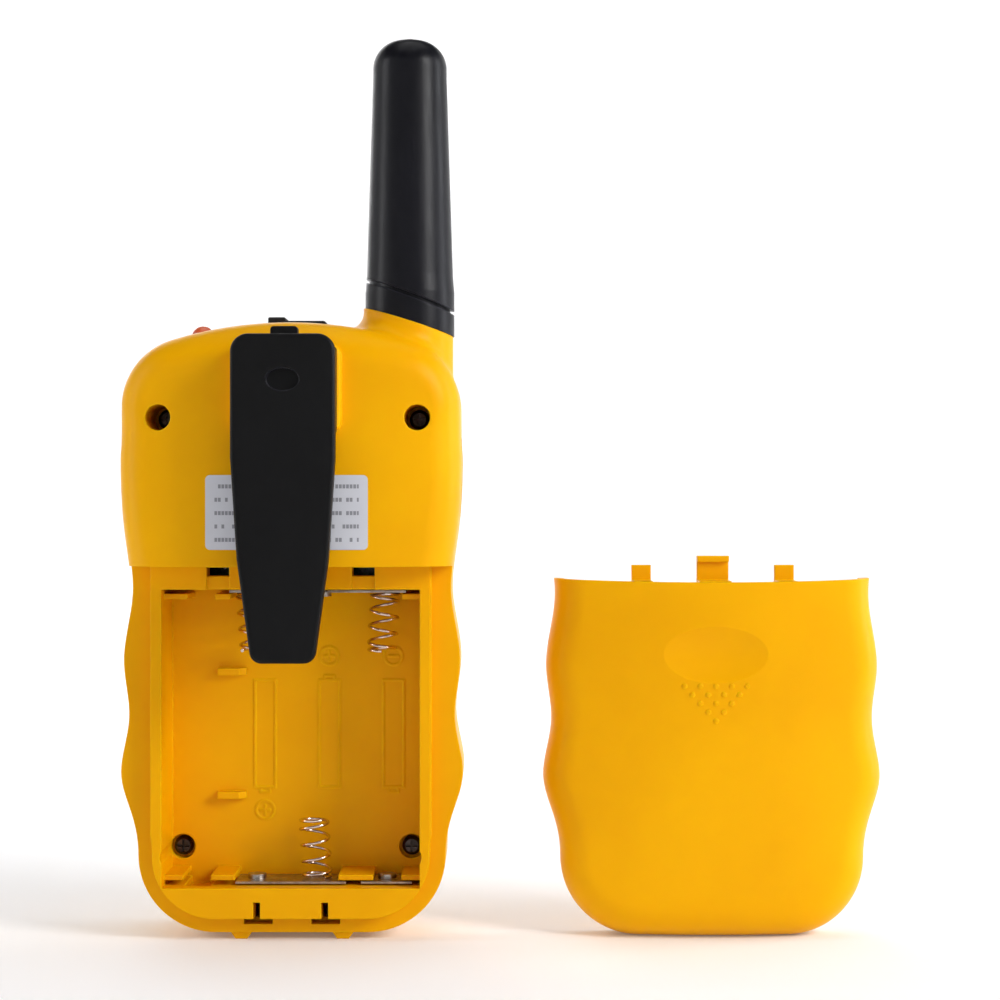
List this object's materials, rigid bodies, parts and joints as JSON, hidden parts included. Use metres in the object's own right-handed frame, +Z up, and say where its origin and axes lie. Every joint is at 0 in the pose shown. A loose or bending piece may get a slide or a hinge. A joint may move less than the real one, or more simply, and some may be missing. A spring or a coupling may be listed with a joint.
{
  "type": "toy walkie talkie",
  "caption": "Hand-held toy two-way radio with stub antenna, belt clip and keys; the battery cover is off and stands beside the open bay.",
  "frame": {"origin": "midway between the radio's two feet, on the surface it stands on", "axes": "+Z up along the antenna, +Y out of the back with the battery bay and belt clip, -Y out of the front with the speaker and keys"},
  "size_m": [0.1324, 0.0387, 0.1567],
  "materials": {
    "yellow_plastic": "satin moulded",
    "dark_steel": "blackened",
    "label": "satin printed",
    "antenna_plastic": "satin",
    "spring_wire": "bright",
    "brass": "turned",
    "circuit_board": "solder mask",
    "tinned_steel": "tinned",
    "black_plastic": "moulded",
    "display_grey": "satin",
    "window": "clear",
    "trim_plastic": "gloss",
    "grey_rubber": "matte",
    "cloth": "woven",
    "black_rubber": "matte",
    "amber_lens": "translucent",
    "nickel": "plated",
    "clip_plastic": "satin",
    "key_plastic": "satin"
  },
  "bodies": {
    "radio": {"front_casing": "yellow_plastic", "rear_casing": "yellow_plastic", "case_screws_upper": "dark_steel", "case_screws_lower": "dark_steel", "rating_label": "label", "antenna_sleeve": "antenna_plastic", "antenna_coil": "spring_wire", "antenna_ferrule": "brass", "main_board": "circuit_board", "rf_shield": "tinned_steel", "radio_chip": "black_plastic", "crystal": "tinned_steel", "capacitor": "tinned_steel", "display_panel": "display_grey", "display_window": "window", "front_trim": "trim_plastic", "keypad_mat": "grey_rubber", "speaker_frame": "tinned_steel", "speaker_magnet": "dark_steel", "speaker_cone": "black_plastic", "speaker_cloth": "cloth", "microphone": "tinned_steel", "microphone_boot": "black_rubber", "torch_led": "window", "torch_lens": "amber_lens", "headset_jack": "black_plastic", "talk_switch": "black_plastic", "contact_link_lower": "nickel", "contact_link_upper": "nickel", "contact_negative": "nickel", "contact_positive": "nickel", "battery_springs_upper": "spring_wire", "battery_spring_lower": "spring_wire"},
    "cover": {"battery_cover": "yellow_plastic"},
    "clip_foot": {"clip_base": "clip_plastic"},
    "clip_arm": {"belt_clip": "clip_plastic"},
    "jack_cover": {"jack_cover": "black_rubber"},
    "talk_key": {"talk_key": "key_plastic"},
    "key_menu": {"key_menu": "key_plastic"},
    "key_call": {"key_call": "key_plastic"},
    "key_torch": {"key_torch": "key_plastic"},
    "key_up": {"key_up": "key_plastic"},
    "key_down": {"key_down": "key_plastic"}
  },
  "joints": [
    {"name": "cover_place", "type": "slide", "parent": "radio", "child": "cover", "axis": [1, 0, 0], "range_m": [-0.05, 0.011]},
    {"name": "clip_release", "type": "slide", "parent": "radio", "child": "clip_foot", "axis": [0, 0, 1], "range_m": [0, 0.02]},
    {"name": "clip_open", "type": "hinge", "parent": "clip_foot", "child": "clip_arm", "pos_m": [0, 0.0206, 0.1022], "axis": [1, 0, 0], "range_deg": [0, 12], "stiffness_Nm_per_rad": 0.6, "springref_deg": -5.73},
    {"name": "jack_cover_hinge", "type": "hinge", "parent": "radio", "child": "jack_cover", "pos_m": [-0.0052, 0, 0.1064], "axis": [0, -1, 0], "range_deg": [0, 95]},
    {"name": "talk_key_press", "type": "slide", "parent": "radio", "child": "talk_key", "axis": [1, 0, 0], "range_m": [0, 0.001], "stiffness_N_per_m": 500, "springref_m": -0.0006},
    {"name": "key_menu_press", "type": "slide", "parent": "radio", "child": "key_menu", "axis": [0, 1, 0], "range_m": [0, 0.0007], "stiffness_N_per_m": 400, "springref_m": -0.0007},
    {"name": "key_call_press", "type": "slide", "parent": "radio", "child": "key_call", "axis": [0, 1, 0], "range_m": [0, 0.0007], "stiffness_N_per_m": 400, "springref_m": -0.0007},
    {"name": "key_torch_press", "type": "slide", "parent": "radio", "child": "key_torch", "axis": [0, 1, 0], "range_m": [0, 0.0007], "stiffness_N_per_m": 400, "springref_m": -0.0007},
    {"name": "key_up_press", "type": "slide", "parent": "radio", "child": "key_up", "axis": [0, 1, 0], "range_m": [0, 0.0007], "stiffness_N_per_m": 400, "springref_m": -0.0007},
    {"name": "key_down_press", "type": "slide", "parent": "radio", "child": "key_down", "axis": [0, 1, 0], "range_m": [0, 0.0007], "stiffness_N_per_m": 400, "springref_m": -0.0007}
  ]
}
